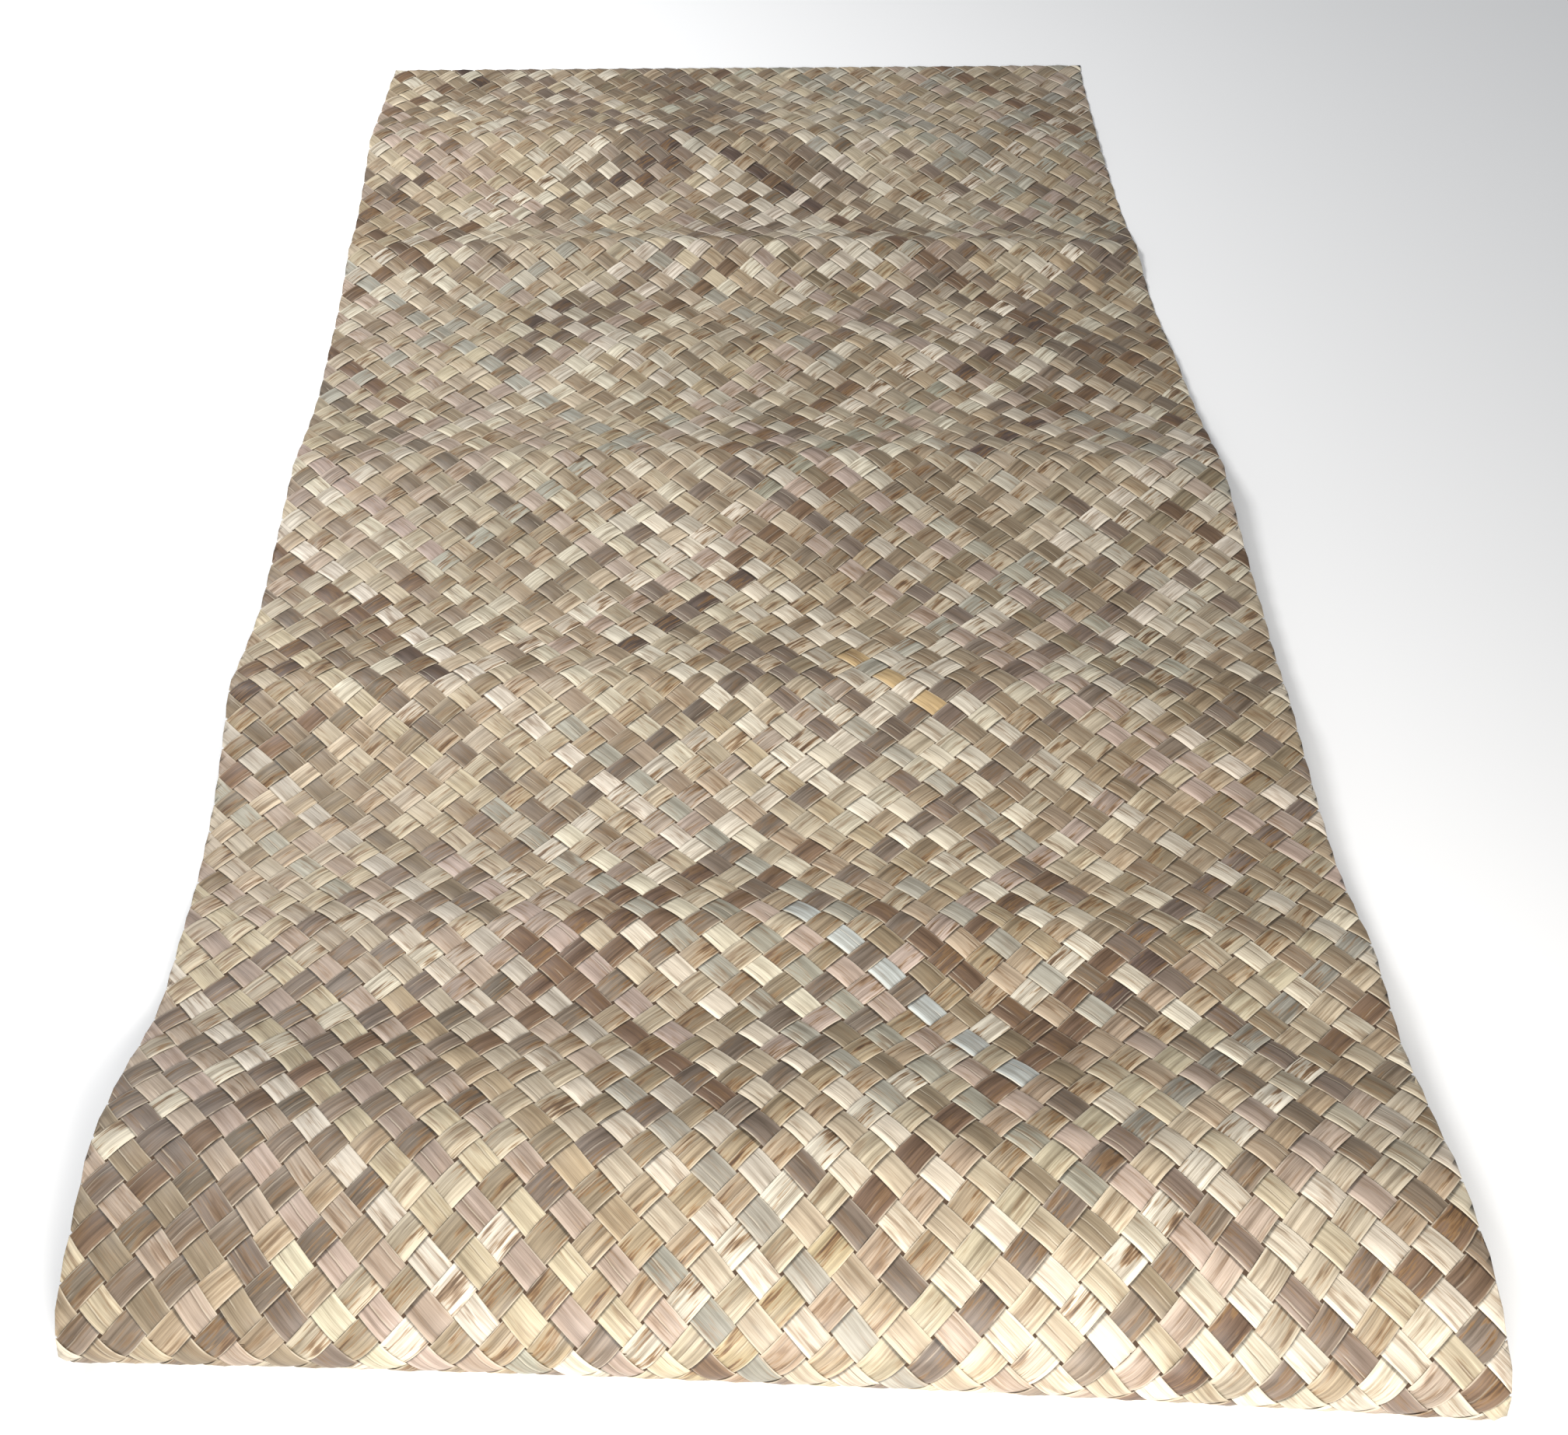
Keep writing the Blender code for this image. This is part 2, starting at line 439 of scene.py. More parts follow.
@dataclass
class StripSet:
    """The strips that run one way, as closed ribbons that go over one and under one."""

    plait: Plait
    way: Way
    seed: int
    cover: float = 0.93
    thickness: float = 0.0009
    arch: float = 0.0014
    squareness: float = 0.8
    edge_droop: float = 0.25
    nose: float = 0.0022
    steps: int = 7
    ring: tuple[float, ...] = (-1.0, -0.94, 0.0, 0.94, 1.0, 1.0, -1.0)
    face: tuple[float, ...] = (0.1, 1.0, 1.0, 1.0, 0.1, -1.0, -1.0)
    mapped: tuple[float, ...] = (-1.0, -0.94, 0.0, 0.94, 1.0, 1.06, -1.06)

    def strips(self) -> np.ndarray:
        """Return the numbers of the strips that run this way."""
        plait = self.plait
        if self.way is Way.TO_RIGHT:
            return np.arange(-plait.rows, plait.columns + 1)
        return np.arange(0, plait.rows + plait.columns + 1)

    def limits(self, own: np.ndarray) -> tuple[np.ndarray, np.ndarray]:
        """Where lines of a strip enter and leave the mat.

        Args:
            own: The strip's number plus the line's place across it.

        Returns:
            First and last value of the running count of crossings.
        """
        wide, long = 2 * self.plait.columns, 2 * self.plait.rows
        if self.way is Way.TO_RIGHT:
            return np.abs(own), np.minimum(wide - own, long + own)
        return np.maximum(-own, own - long), np.minimum(own, wide - own)

    def net(self, own: np.ndarray, run: np.ndarray) -> tuple[np.ndarray, np.ndarray]:
        """Columns and rows of places on a strip.

        Args:
            own: The strip's number plus the place across it.
            run: The running count of crossings along it.

        Returns:
            Columns and rows, kept inside the mat.
        """
        row = (run - own) / 2 * self.way.value
        column = (own + run) / 2
        return np.clip(column, 0, self.plait.columns), np.clip(row, 0, self.plait.rows)

    def leaves(self, strip: int, run: np.ndarray) -> tuple[np.ndarray, np.ndarray]:
        """Tone and character along a strip, which changes where one leaf ends under a crossing.

        Args:
            strip: The strip's number.
            run: The running count of crossings.

        Returns:
            Colours, and vectors of seed, mottling and place of the midrib.
        """
        random = np.random.default_rng([self.seed, strip + 200])
        column = "to_right" if self.way is Way.TO_RIGHT else "to_left"
        odds = np.array([getattr(share, column) for share in SHARES])
        colour, character = np.zeros((len(run), 3)), np.zeros((len(run), 3))
        start = float(run.min()) - 1
        while start < run.max():
            share = SHARES[random.choice(len(SHARES), p=odds / odds.sum())]
            length = 2 * random.integers(share.cells // 3 + 1, share.cells + 1)
            tint = (1 + random.normal(0, 0.09)) * (1 + random.normal(0, (0.012, 0.008, 0.025)))
            traits = random.random(3)
            hidden = 2 * np.round((start - strip - 1) / 2) + strip + 1
            if self.way is Way.TO_LEFT:
                hidden = hidden - 1
            chosen = run >= hidden
            colour[chosen] = linear(share.tone.value) * tint
            character[chosen] = traits
            start += float(length)
        for leaf in STANDING_OUT:
            if leaf.way is self.way and leaf.strip == strip:
                colour[(run >= leaf.first) & (run <= leaf.last)] = linear(leaf.tone.value)
        return colour, character

    def ribbon(self, strip: int) -> dict[str, np.ndarray] | None:
        """One strip as a closed ribbon.

        The running count of crossings goes along it and a flattened ring goes round it. Its
        height is the arch times the levelled cosine of half a turn for each crossing, so it is
        over one and under the next, and falls off towards its long edges. Near the mat's edges
        height and thickness die out as a quarter ellipse.

        Args:
            strip: The strip's number.

        Returns:
            Vertices, faces and the values that the finish reads, or None off the mat.
        """
        plait = self.plait
        pitch = plait.sheet.width / plait.columns / np.sqrt(2)
        random = np.random.default_rng([self.seed, strip + 500])
        phase, slack, drift, tension = random.random(4) * 2 * np.pi
        half = 0.5 * (self.cover + random.uniform(-0.055, 0.02))
        ring, face = np.array(self.ring), np.array(self.face)
        ends = self.limits(strip + ring * half)
        first = np.floor(ends[0].min() * self.steps) - 1
        last = np.ceil(ends[1].max() * self.steps) + 1
        if last - first < 4 or ends[1].max() <= ends[0].min():
            return None
        count = np.arange(first, last + 1) / self.steps
        wide = half * (1 + 0.022 * np.sin(0.9 * count + phase) + 0.014 * np.sin(2.3 * count + slack))
        middle = strip + 0.018 * np.sin(0.7 * count + drift) + 0.010 * np.sin(1.7 * count + phase)
        own = middle[:, None] + wide[:, None] * ring
        enter, leave = self.limits(own)
        run = np.repeat(count[:, None], len(ring), axis=1)
        into, out = (run - enter) * self.steps, (leave - run) * self.steps
        shoulder = 0.35 * self.nose / pitch
        run = np.where(into < 0.5, enter + np.where(into < -0.5, 0, shoulder), run)
        run = np.where(out < 0.5, leave - np.where(out < -0.5, 0, shoulder), run)
        run = np.clip(run, enter, np.maximum(leave, enter))
        column, row = self.net(own, run)
        inside = np.minimum(plait.to_edge(column, row), self.nose) / self.nose
        nose = np.sqrt(np.clip(1 - (1 - inside) ** 2, 0, 1))
        turn = np.cos(np.pi * (run - strip)) * self.way.value
        level = np.tanh(self.squareness * turn) / np.tanh(self.squareness)
        droop = 1 - self.edge_droop * ring**2
        slack_here = 1 + 0.16 * np.sin(1.3 * count + tension) + 0.12 * np.sin(2.9 * count + drift)
        height = self.arch * slack_here[:, None] * level * droop * nose + face * self.thickness / 2 * nose
        points, normals = plait.place(column, row)
        colour, character = self.leaves(strip, run[:, 1])
        around = len(ring)
        return {
            "points": (points + normals * height[..., None]).reshape(-1, 3),
            "faces": self.ring_faces(len(count), around),
            "flat": np.stack([run * pitch, 0 * run + np.array(self.mapped) * pitch / 2], axis=-1).reshape(-1, 2),
            "tone": np.repeat(colour[:, None], around, axis=1).reshape(-1, 3),
            "leaf": np.repeat(character[:, None], around, axis=1).reshape(-1, 3),
            "rise": np.stack([turn, -np.sin(np.pi * (run - strip)), 0 * run], axis=-1).reshape(-1, 3),
            "rim": np.broadcast_to(face < -0.5, run.shape).reshape(-1),
        }

    def ring_faces(self, rings: int, around: int) -> np.ndarray:
        """Four-sided faces between neighbouring rings, facing outwards.

        Args:
            rings: Number of rings.
            around: Vertices in a ring.

        Returns:
            Vertex numbers, four for each face.
        """
        i, j = np.meshgrid(np.arange(rings - 1), np.arange(around), indexing="ij")
        k = (j + 1) % around
        quads = np.stack([i * around + j, (i + 1) * around + j, (i + 1) * around + k, i * around + k], -1)
        quads = quads.reshape(-1, 4)
        return quads if self.way is Way.TO_RIGHT else quads[:, ::-1]

    def build(self, name: str, numbers: np.ndarray) -> bpy.types.Object:
        """Join some of the strips into one piece.

        Args:
            name: Name of the piece.
            numbers: The strips in it.

        Returns:
            The object.
        """
        ribbons = [r for r in (self.ribbon(int(n)) for n in numbers) if r is not None]
        starts = np.cumsum([0] + [len(r["points"]) for r in ribbons])
        faces = np.concatenate([r["faces"] + s for r, s in zip(ribbons, starts)])
        values = {k: np.concatenate([r[k] for r in ribbons]) for k in ribbons[0] if k != "faces"}
        owner = np.repeat(np.arange(len(ribbons)), [len(r["points"]) for r in ribbons])
        return mesh_piece(name, faces, values, owner)


def mesh_piece(
    name: str, faces: np.ndarray, values: dict[str, np.ndarray], owner: np.ndarray
) -> bpy.types.Object:
    """Weld vertices that coincide in one ribbon, drop faces without area and make the object.

    Args:
        name: Name of the piece.
        faces: Vertex numbers, four for each face.
        values: Points and the values that the finish reads, a row for each vertex.
        owner: The ribbon of each vertex.

    Returns:
        The object, smooth but for its rims.
    """
    key = np.concatenate([np.round(values["points"] * 2e6).astype(np.int64), owner[:, None]], axis=1)
    _, kept, welded = np.unique(key, axis=0, return_index=True, return_inverse=True)
    faces = welded.reshape(-1)[faces]
    same = faces == np.roll(faces, -1, axis=1)
    opposite = (faces[:, 0] == faces[:, 2]) | (faces[:, 1] == faces[:, 3])
    quads = faces[(same.sum(axis=1) == 0) & ~opposite]
    pinched = faces[(same.sum(axis=1) == 1) & ~opposite]
    corners = pinched[~same[(same.sum(axis=1) == 1) & ~opposite]].reshape(-1, 3)
    mesh = bpy.data.meshes.new(name)
    points = values["points"][kept]
    mesh.from_pydata(points.tolist(), [], quads.tolist() + corners.tolist())
    mesh.polygons.foreach_set("use_smooth", np.ones(len(mesh.polygons), bool))
    edges = np.zeros(len(mesh.edges) * 2, np.int32)
    mesh.edges.foreach_get("vertices", edges)
    rim = values["rim"][kept][edges.reshape(-1, 2)].all(axis=1)
    mesh.edges.foreach_set("use_edge_sharp", rim)
    loops = np.zeros(len(mesh.loops), np.int32)
    mesh.loops.foreach_get("vertex_index", loops)
    layer = mesh.uv_layers.new(name="strip")
    layer.uv.foreach_set("vector", values["flat"][kept][loops].astype(np.float32).ravel())
    for key_name in ("tone", "leaf", "rise"):
        attribute = mesh.attributes.new(key_name, "FLOAT_VECTOR", "POINT")
        attribute.data.foreach_set("vector", values[key_name][kept].astype(np.float32).ravel())
    mesh.update()
    obj = bpy.data.objects.new(name, mesh)
    bpy.context.scene.collection.objects.link(obj)
    return obj


@dataclass
class Nodes:
    """Short ways to add nodes to one material."""

    tree: bpy.types.NodeTree

    def add(self, kind: str, **inputs: object) -> bpy.types.Node:
        """Add a node and give its inputs values or links.

        Args:
            kind: Blender's name of the node.
            inputs: Socket values or sockets, by the socket's name with _ for a space.

        Returns:
            The node.
        """
        node = self.tree.nodes.new(kind)
        for name, value in inputs.items():
            self.put(node.inputs[name.replace("_", " ")], value)
        return node

    def put(self, socket: bpy.types.NodeSocket, value: object) -> None:
        """Link a socket to another one, or set its value."""
        if isinstance(value, bpy.types.NodeSocket):
            self.tree.links.new(value, socket)
        else:
            socket.default_value = value

    def math(self, how: str, a: object, b: object = 0.0, third: object = 0.0) -> bpy.types.NodeSocket:
        """Work out one step of arithmetic.

        Args:
            how: Blender's name of the operation.
            a: First number or socket.
            b: Second number or socket.
            third: Third number or socket, where the operation has one.

        Returns:
            The result's socket.
        """
        node = self.tree.nodes.new("ShaderNodeMath")
        node.operation = how
        for socket, value in zip(node.inputs, (a, b, third)):
            self.put(socket, value)
        return node.outputs[0]

    def swing(self, noise: object, size: float) -> bpy.types.NodeSocket:
        """Return noise about 0.5 as a swing of a given size about nought."""
        return self.math("MULTIPLY", self.math("SUBTRACT", noise, 0.5), size)

    def value(self, name: str) -> bpy.types.Node:
        """Return a node that reads one of the piece's own values."""
        node = self.add("ShaderNodeAttribute")
        node.attribute_name = name
        return node

    def ramp(self, value: object, low: float, high: float, start: float = 0, end: float = 1) -> bpy.types.NodeSocket:
        """Ease smoothly from start to end while a value goes from low to high.

        Args:
            value: The number or socket that is read.
            low: Where the result starts to change.
            high: Where it is done.
            start: Result up to low.
            end: Result from high on.

        Returns:
            The result's socket.
        """
        node = self.tree.nodes.new("ShaderNodeMapRange")
        node.interpolation_type = "SMOOTHSTEP"
        for socket, number in zip(node.inputs, (value, low, high, start, end)):
            self.put(socket, number)
        return node.outputs[0]

    def noise(self, place: object, stretch: tuple[float, float, float], detail: float = 2.0) -> bpy.types.NodeSocket:
        """Smooth noise over a stretched place.

        Args:
            place: Socket of a vector.
            stretch: How many times a metre the noise changes, along each axis.
            detail: Octaves of finer noise.

        Returns:
            Socket of a number about 0.5.
        """
        scaled = self.tree.nodes.new("ShaderNodeVectorMath")
        scaled.operation = "MULTIPLY"
        self.put(scaled.inputs[0], place)
        scaled.inputs[1].default_value = stretch
        return self.add(
            "ShaderNodeTexNoise", Vector=scaled.outputs[0], Scale=1.0, Detail=detail, Roughness=0.6
        ).outputs["Fac"]

    def mix(self, share: object, a: object, b: object, how: str = "MIX") -> bpy.types.NodeSocket:
        """Mix two colours.

        Args:
            share: How much of the second, 0 to 1.
            a: First colour.
            b: Second colour.
            how: Blender's name of the blend.

        Returns:
            Socket of the mixed colour.
        """
        node = self.tree.nodes.new("ShaderNodeMix")
        node.data_type = "RGBA"
        node.blend_type = how
        self.put(node.inputs[0], share)
        self.put(node.inputs[6], a)
        self.put(node.inputs[7], b)
        return node.outputs[2]

    def grey(self, value: object) -> bpy.types.NodeSocket:
        """Return a grey colour of a number's lightness."""
        return self.add("ShaderNodeCombineColor", Red=value, Green=value, Blue=value).outputs[0]


def colour4(tone: tuple[int, int, int]) -> tuple[float, float, float, float]:
    """Return a colour of 0 to 255 as four linear numbers."""
    return (*(float(c) for c in linear(tone)), 1.0)


@dataclass(frozen=True)
class LeafFinish:
    """Dried pandanus leaf: stripes and fibres along the strip, patches, creases darkened with painted shade beside a
    painted pale ridge, and pale edges painted as highlights.
    """

    name: str
    stripes: float
    streaks: float
    patches: float
    creased: float
    half_width: float = 0.0144
    roughness: float = 0.50
    relief: float = 0.00030
    amber_tone: tuple[int, int, int] = (140, 108, 70)
    patch_tone: tuple[int, int, int] = (100, 74, 52)
    core_tone: tuple[int, int, int] = (72, 55, 42)
    # Painted shade for the leaf's creases.
    crease_shade_tone: tuple[int, int, int] = (84, 66, 50)
    # Painted highlight for the strips' long edges and for the ridge beside each crease.
    edge_highlight_tone: tuple[int, int, int] = (216, 205, 184)

    def material(self) -> bpy.types.Material:
        """Build the material from the strip's own map and its leaf's values.

        Returns:
            The material.
        """
        material = bpy.data.materials.new(self.name)
        material.use_nodes = True
        tree = material.node_tree
        shader = next(n for n in tree.nodes if n.type == "BSDF_PRINCIPLED")
        nodes = Nodes(tree)
        flat = nodes.add("ShaderNodeUVMap")
        flat.uv_map = "strip"
        run = nodes.add("ShaderNodeSeparateXYZ", Vector=flat.outputs[0])
        along, across = run.outputs[0], run.outputs[1]
        trait = nodes.add("ShaderNodeSeparateXYZ", Vector=nodes.value("leaf").outputs["Vector"])
        seed, mottle, rib = trait.outputs[0], trait.outputs[1], trait.outputs[2]
        tone = nodes.value("tone").outputs["Color"]
        place = nodes.add("ShaderNodeCombineXYZ", X=along, Y=across, Z=seed).outputs[0]
        fibre = nodes.noise(place, (30, 1500, 60), 2.0)
        streak = nodes.noise(place, (16, 480, 61), 3.0)
        stripe = nodes.noise(place, (5, 170, 63), 2.0)
        drift = nodes.noise(place, (17, 16, 62), 2.0)

        share = nodes.math("ADD", nodes.swing(fibre, 0.8), nodes.swing(streak, self.streaks))
        share = nodes.math("ADD", share, nodes.swing(stripe, self.stripes))
        share = nodes.math("ADD", share, nodes.swing(drift, 0.9))
        # Painted highlight: the strip is lightened towards its long edges, most beyond 13 mm from its middle.
        share = nodes.math("ADD", share, nodes.ramp(nodes.math("ABSOLUTE", across), 0.0080, 0.0130, 0.42, 0.72))
        share = nodes.math("MINIMUM", nodes.math("MAXIMUM", share, 0.0), 1.0)
        darker = nodes.mix(1.0, tone, (0.50, 0.455, 0.405, 1.0), "MULTIPLY")
        lighter = nodes.mix(1.0, tone, (1.40, 1.39, 1.37, 1.0), "MULTIPLY")
        colour = nodes.mix(share, darker, lighter)
        colour = self.patched(nodes, colour, place, mottle)
        crease, ridge = self.creases(nodes, place, across, rib)
        # Painted shade in the crease and a painted highlight on the ridge beside it.
        colour = nodes.mix(nodes.math("MULTIPLY", crease, 0.6), colour, colour4(self.crease_shade_tone))
        colour = nodes.mix(nodes.math("MULTIPLY", ridge, 0.45), colour, colour4(self.edge_highlight_tone))
        colour = self.edge_highlight_and_shade(nodes, colour, place, across)
        tree.links.new(colour, shader.inputs["Base Color"])
        shader.inputs["Specular IOR Level"].default_value = 0.4
        rough = nodes.math("MULTIPLY_ADD", streak, 0.25, third=self.roughness - 0.12)
        tree.links.new(rough, shader.inputs["Roughness"])

        relief = nodes.math("ADD", nodes.math("MULTIPLY", fibre, 0.3), nodes.math("MULTIPLY", streak, 0.6))
        relief = nodes.math("SUBTRACT", relief, nodes.math("MULTIPLY", crease, 0.8))
        relief = nodes.math("ADD", relief, nodes.math("MULTIPLY", ridge, 0.5))
        bump = nodes.add("ShaderNodeBump", Strength=0.8, Distance=self.relief, Height=relief)
        tree.links.new(bump.outputs[0], shader.inputs["Normal"])
        return material

    def patched(self, nodes: Nodes, colour: object, place: object, mottle: object) -> bpy.types.NodeSocket:
        """Streaky patches, amber at the rim, brown inside and nearly black-brown at the core.

        Args:
            nodes: The material's nodes.
            colour: The leaf's striped colour.
            place: Metres along and across, and the leaf's seed.
            mottle: How mottled the leaf is, 0 to 1.

        Returns:
            The colour with its patches.
        """
        strength = nodes.math("MULTIPLY", nodes.ramp(mottle, 0.1, 0.8, 0.3, 1.0), self.patches)
        cloud = nodes.noise(place, (24, 100, 73), 2.0)
        grain = nodes.noise(place, (24, 420, 72), 2.0)
        frayed = nodes.math("ADD", cloud, nodes.swing(grain, 0.8))
        for tone, start, end in (
            (self.amber_tone, 0.53, 0.62), (self.patch_tone, 0.60, 0.68), (self.core_tone, 0.69, 0.78)
        ):
            here = nodes.math("MULTIPLY", nodes.ramp(frayed, start, end), strength)
            colour = nodes.mix(here, colour, colour4(tone))
        return colour

    def edge_highlight_and_shade(self, nodes: Nodes, colour: object, place: object, across: object) -> bpy.types.NodeSocket:
        """Painted highlights along the long edges, broken up by noise, painted shade on the side walls, and a painted
        shadow line where the strip comes out from under.

        Args:
            nodes: The material's nodes.
            colour: The colour so far.
            place: Metres along and across, and the leaf's seed.
            across: Metres from the strip's middle.

        Returns:
            The finished colour.
        """
        off = nodes.math("ABSOLUTE", across)
        # Painted highlight: the last 1.6 mm inside each long edge is mixed towards a pale tone, more strongly where
        # the noise is high.
        highlight_breakup = nodes.ramp(nodes.noise(place, (60, 9, 65), 2.0), 0.36, 0.58)
        rim = nodes.ramp(off, self.half_width - 0.0016, self.half_width - 0.0006)
        rim = nodes.math("MULTIPLY", rim, nodes.math("MULTIPLY_ADD", highlight_breakup, 0.4, third=0.1))
        colour = nodes.mix(rim, colour, colour4(self.edge_highlight_tone))
        # Painted shade: the side walls beyond the long edges are darkened to half.
        wall = nodes.ramp(off, self.half_width, self.half_width + 0.0003, 1.0, 0.5)
        # Painted shadow: a dark line where the strip comes up from under the crossing strip, fainter where it goes
        # down under it.
        turn = nodes.add("ShaderNodeSeparateXYZ", Vector=nodes.value("rise").outputs["Vector"])
        out = nodes.ramp(turn.outputs[1], -0.3, 0.3, 0.1, 0.65)
        emerging_shadow = nodes.math("MULTIPLY", nodes.ramp(turn.outputs[0], -0.08, 0.14, 1.0, 0.0), out)
        shade = nodes.math("MULTIPLY", wall, nodes.math("SUBTRACT", 1.0, emerging_shadow))
        return nodes.mix(1.0, colour, nodes.grey(shade), "MULTIPLY")

    def creases(
        self, nodes: Nodes, place: object, across: object, rib: object
    ) -> tuple[bpy.types.NodeSocket, bpy.types.NodeSocket]:
        """A fine crease along the leaf, darkened with painted shade, and a ridge beside it, lightened with a painted
        highlight.

        Args:
            nodes: The material's nodes.
            place: Metres along and across, and the leaf's seed.
            across: Metres from the strip's middle.
            rib: Where across the leaf its crease lies, 0 to 1.

        Returns:
            Strengths of the crease and of the ridge.
        """
        waver = nodes.swing(nodes.noise(place, (34, 3, 80), 3.0), 0.0030)
        line = nodes.math("MULTIPLY", nodes.math("SUBTRACT", rib, 0.5), 0.019)
        off = nodes.math("SUBTRACT", nodes.math("ADD", across, waver), line)
        there = nodes.ramp(nodes.noise(place, (17, 2, 81), 1.0), 0.46, 0.56)
        there = nodes.math("MULTIPLY", there, self.creased)
        crease = nodes.math("MULTIPLY", nodes.ramp(nodes.math("ABSOLUTE", off), 0.00015, 0.0007, 1.0, 0.0), there)
        beside = nodes.math("ABSOLUTE", nodes.math("SUBTRACT", off, 0.0013))
        ridge = nodes.math("MULTIPLY", nodes.ramp(beside, 0.0002, 0.0009, 1.0, 0.0), there)
        return crease, ridge


@dataclass(frozen=True)
class InnerShadeFinish:
    """Painted shade for the inside of the mat: a dark brown that shows only as pinholes between the strips."""

    name: str = "pinhole shade"
    # Dark brown, painted shade for the pinholes.
    tone: tuple[int, int, int] = (84, 64, 46)

    def material(self) -> bpy.types.Material:
        """Build a rough dark brown material with faint fibres, as painted shade.

        Returns:
            The material.
        """
        material = bpy.data.materials.new(self.name)
        material.use_nodes = True
        tree = material.node_tree
        shader = next(n for n in tree.nodes if n.type == "BSDF_PRINCIPLED")
        nodes = Nodes(tree)
        place = nodes.add("ShaderNodeTexCoord").outputs["Object"]
        fibre = nodes.noise(place, (300, 300, 300), 2.0)
        dark = tuple(int(c * 0.7) for c in self.tone)
        tree.links.new(nodes.mix(fibre, colour4(dark), colour4(self.tone)), shader.inputs["Base Color"])
        shader.inputs["Roughness"].default_value = 0.9
        return material


@dataclass
class InnerShadeSheet:
    """A thin closed sheet along the mat's middle layer, inside the strips, dark as painted shade in the pinholes."""

    plait: Plait
    thickness: float = 0.0001
    inset: float = 0.2
    columns: int = 60
    rows: int = 150
    finish: InnerShadeFinish = InnerShadeFinish()

    def build(self) -> bpy.types.Object:
        """Make the sheet as two layers joined round their edge.

        Each layer is the middle layer moved by half the thickness along its normal.

        Returns:
            The object.
        """
        across = np.linspace(self.inset, self.plait.columns - self.inset, self.columns)
        along = np.linspace(self.inset, self.plait.rows - self.inset, self.rows)
        row, column = np.meshgrid(along, across, indexing="ij")
        points, normals = self.plait.place(column, row)
        half = normals * self.thickness / 2
        both = np.concatenate([(points + half).reshape(-1, 3), (points - half).reshape(-1, 3)])
        i, j = np.meshgrid(np.arange(self.rows - 1), np.arange(self.columns - 1), indexing="ij")
        a = (i * self.columns + j).ravel()
        upper = np.stack([a, a + self.columns, a + self.columns + 1, a + 1], axis=1)
        under = self.rows * self.columns
        loop = np.concatenate([
            np.arange(self.columns),
            np.arange(1, self.rows) * self.columns + self.columns - 1,
            (self.rows - 1) * self.columns + np.arange(self.columns - 2, -1, -1),
            np.arange(self.rows - 2, -1, -1) * self.columns,
        ])
        wall = np.stack([loop[:-1], loop[1:], loop[1:] + under, loop[:-1] + under], axis=1)
        faces = np.concatenate([upper, upper[:, ::-1] + under, wall])
        mesh = bpy.data.meshes.new("mat_inside_shade")
        mesh.from_pydata(both.tolist(), [], faces.tolist())
        mesh.update()
        obj = bpy.data.objects.new("mat_inside_shade", mesh)
        bpy.context.scene.collection.objects.link(obj)
        mesh.materials.append(self.finish.material())
        return obj


@dataclass
class PandanusMat:
    """The whole mat: strips in two directions round a thin inner sheet that is painted shade."""

    sheet: FoldedSheet = field(default_factory=FoldedSheet)

    def build(self) -> None:
        """Build and dress every piece, attach each to the root body and hide the model's mat."""
        plait = Plait(self.sheet)
        inside = InnerShadeSheet(plait).build()
        pieces = []
        finishes = {
            Way.TO_RIGHT: LeafFinish("smooth leaf face", stripes=1.2, streaks=0.9, patches=0.30, creased=0.8),
            Way.TO_LEFT: LeafFinish("mottled leaf face", stripes=1.8, streaks=1.5, patches=0.75, creased=0.5),
        }
        for way, finish in finishes.items():
            strips = StripSet(plait, way, seed=11 if way is Way.TO_RIGHT else 12)
            material = finish.material()
            numbers = strips.strips()
            halves = np.array_split(numbers, 2)
            for part, chosen in zip(("far", "near") if way is Way.TO_LEFT else ("near", "far"), halves):
                side = "right" if way is Way.TO_RIGHT else "left"
                obj = strips.build(f"strips_to_{side}_{part}", chosen)
                obj.data.materials.append(material)
                pieces.append(obj)
        for obj in [inside, *pieces]:
            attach(obj, "root")
            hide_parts("mat")
            obj.data.calc_loop_triangles()
            log.info("%s: %d triangles", obj.name, len(obj.data.loop_triangles))


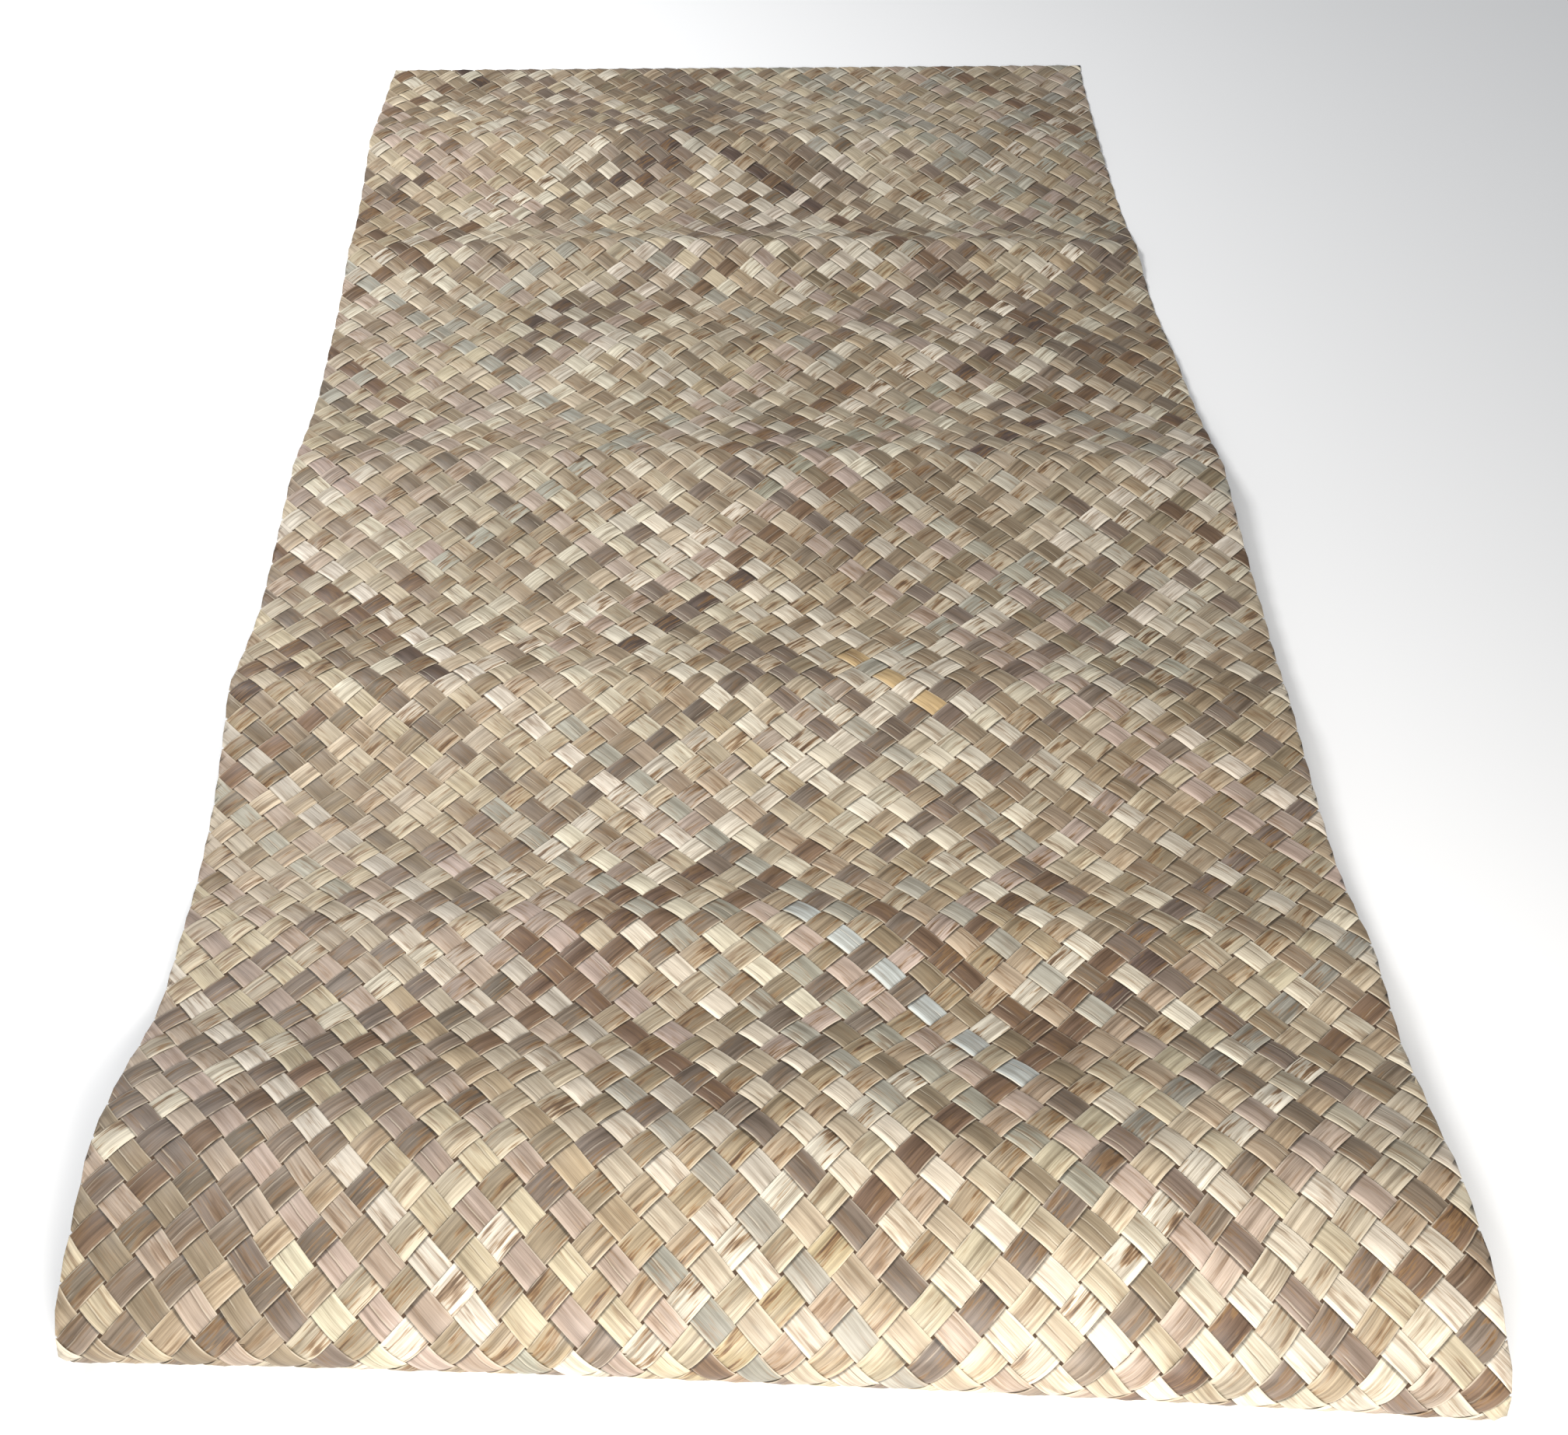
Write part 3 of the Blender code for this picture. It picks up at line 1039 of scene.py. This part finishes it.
@dataclass
class Studio:
    """A pale floor, soft light and the camera at the photograph's angle."""

    floor_size: float = 30.0
    floor_tone: tuple[int, int, int] = (252, 252, 252)
    eye: tuple[float, float, float] = (-0.0815, -1.5306, 1.428)
    yaw: float = -4.88
    pitch: float = 50.71
    roll: float = -2.91
    lens: float = 35.71
    shift: float = 0.121

    def build(self) -> None:
        """Make the floor, the lights and the camera."""
        self.floor()
        self.lights()
        self.camera()

    def floor(self) -> None:
        """Lay the floor under the mat."""
        half = self.floor_size / 2
        mesh = bpy.data.meshes.new("floor")
        mesh.from_pydata([(-half, -half, 0), (half, -half, 0), (half, half, 0), (-half, half, 0)], [], [(0, 1, 2, 3)])
        obj = bpy.data.objects.new("floor", mesh)
        bpy.context.scene.collection.objects.link(obj)
        material = bpy.data.materials.new("floor")
        material.use_nodes = True
        shader = next(n for n in material.node_tree.nodes if n.type == "BSDF_PRINCIPLED")
        shader.inputs["Base Color"].default_value = colour4(self.floor_tone)
        shader.inputs["Roughness"].default_value = 0.95
        shader.inputs["Specular IOR Level"].default_value = 0.1
        mesh.materials.append(material)

    def lights(self) -> None:
        """Light the room all round, from a panel in front, a high lamp on the left and a low lamp."""
        world = bpy.data.worlds.new("room")
        bpy.context.scene.world = world
        world.use_nodes = True
        background = next(n for n in world.node_tree.nodes if n.type == "BACKGROUND")
        background.inputs["Color"].default_value = (0.93, 0.96, 1.0, 1.0)
        background.inputs["Strength"].default_value = 0.30
        self.lamp("panel in front", (0.0, -7.0, 4.0), (0.0, 0.0, 0.0), 2.0, 180, (1.0, 1.0, 1.0))
        self.lamp("high lamp", (-1.6, 0.8, 2.4), (-1.9, 0.8, 0.0), 1.0, 75, (1.0, 1.0, 1.0))
        self.lamp("low lamp", (0.15, -1.85, 0.95), (0.0, -0.7, 0.0), 0.6, 22, (1.0, 0.96, 0.90))

    def lamp(
        self,
        name: str,
        place: tuple[float, float, float],
        target: tuple[float, float, float],
        size: float,
        power: float,
        tint: tuple[float, float, float],
    ) -> None:
        """Hang a square lamp that faces a point.

        Args:
            name: The lamp's name.
            place: Where it hangs.
            target: What it faces.
            size: Its side, in metres.
            power: Its power, in watts.
            tint: Its colour.
        """
        light = bpy.data.lights.new(name, "AREA")
        light.size = size
        light.energy = power
        light.color = tint
        obj = bpy.data.objects.new(name, light)
        obj.location = place
        obj.rotation_euler = (Vector(target) - Vector(place)).to_track_quat("-Z", "Y").to_euler()
        bpy.context.scene.collection.objects.link(obj)

    def camera(self) -> None:
        """Place the camera: turned by yaw about Z, tipped down by pitch, then rolled."""
        yaw, pitch, roll = np.radians([self.yaw, self.pitch, self.roll])
        ahead = Vector((np.sin(yaw) * np.cos(pitch), np.cos(yaw) * np.cos(pitch), -np.sin(pitch)))
        level = Vector((np.cos(yaw), -np.sin(yaw), 0.0))
        over = Vector((np.sin(yaw) * np.sin(pitch), np.cos(yaw) * np.sin(pitch), np.cos(pitch)))
        right = np.cos(roll) * level + np.sin(roll) * over
        up = -np.sin(roll) * level + np.cos(roll) * over
        lens = bpy.data.cameras.new("camera")
        lens.lens = self.lens
        lens.sensor_width = 36.0
        lens.shift_x = self.shift
        obj = bpy.data.objects.new("camera", lens)
        turn = Matrix((right, up, -ahead)).transposed().to_4x4()
        obj.matrix_world = Matrix.Translation(self.eye) @ turn
        bpy.context.scene.collection.objects.link(obj)
        bpy.context.scene.camera = obj
        bpy.context.scene.view_settings.view_transform = "Standard"


def main() -> None:
    """Build the studio and the mat, in that order."""
    logging.basicConfig(level=logging.INFO, format="%(name)s: %(message)s")
    Studio().build()
    log.info("studio is up")
    PandanusMat().build()


if __name__ == "__main__":
    main()
